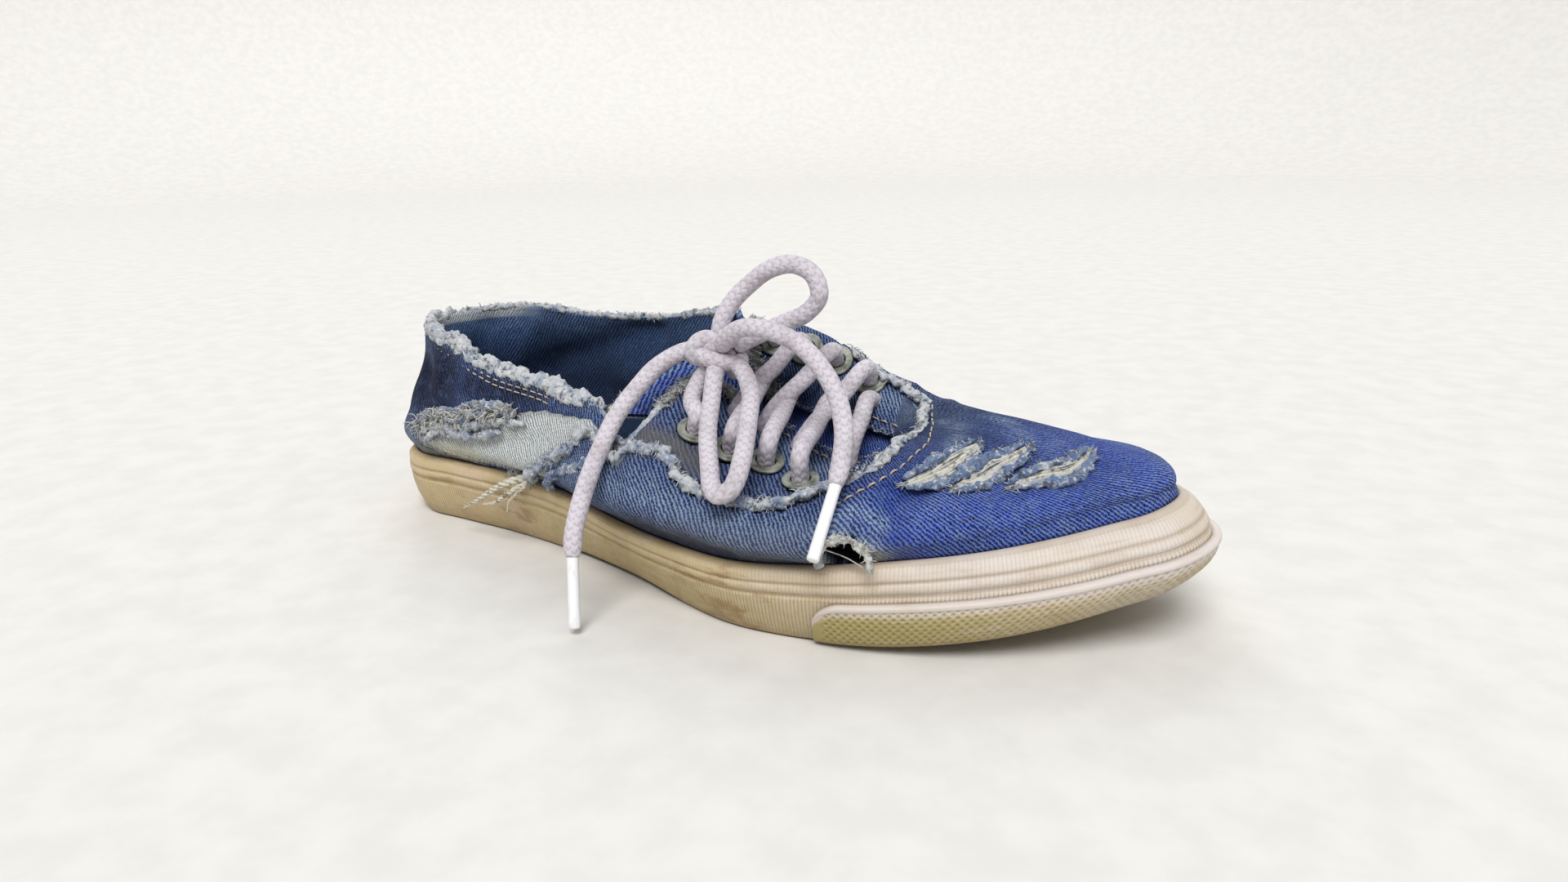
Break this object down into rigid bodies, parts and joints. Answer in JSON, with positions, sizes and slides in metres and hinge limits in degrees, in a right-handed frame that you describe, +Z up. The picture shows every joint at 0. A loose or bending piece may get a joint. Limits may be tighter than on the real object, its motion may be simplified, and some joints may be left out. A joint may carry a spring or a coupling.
{
  "type": "sneaker",
  "caption": "Worn low lace-up sneaker with a ripped denim upper, rubber sole and tied laces.",
  "frame": {"origin": "middle of the heel's flat resting face, on the floor", "axes": "+X along the sole to the toe, +Y to the inner side of the foot, +Z up"},
  "size_m": [0.3054, 0.13, 0.105],
  "materials": {
    "outer_denim": "washed cotton denim, worn pale and ripped",
    "insole_cloth": "grey cotton footbed",
    "sole_rubber": "matt tan rubber",
    "rubber": "yellowed white rubber with brown stains",
    "bumper_rubber": "yellowed dimpled rubber",
    "eyelet_metal": "dull plated metal",
    "lace_cotton": "round woven cotton lace",
    "tip_plastic": "white plastic lace tip"
  },
  "bodies": {
    "root": {"upper": "outer_denim", "tongue": "outer_denim", "insole": "insole_cloth", "outsole": "sole_rubber", "foxing": "rubber", "toe_bumper": "bumper_rubber", "eyelet_side_1": "eyelet_metal", "eyelet_side_2": "eyelet_metal", "eyelet_side_3": "eyelet_metal", "eyelet_side_4": "eyelet_metal", "eyelet_inner_1": "eyelet_metal", "eyelet_inner_2": "eyelet_metal", "eyelet_inner_3": "eyelet_metal", "eyelet_inner_4": "eyelet_metal", "lace_cross_1": "lace_cotton", "lace_cross_2": "lace_cotton", "lace_cross_3": "lace_cotton", "lace_bar_front": "lace_cotton", "lace_rise_side": "lace_cotton", "lace_rise_inner": "lace_cotton", "bow_knot": "lace_cotton", "bow_loop_up": "lace_cotton", "bow_loop_down": "lace_cotton", "lace_tail_side": "lace_cotton", "lace_tail_front": "lace_cotton", "aglet_side": "tip_plastic", "aglet_front": "tip_plastic"}
  },
  "joints": []
}
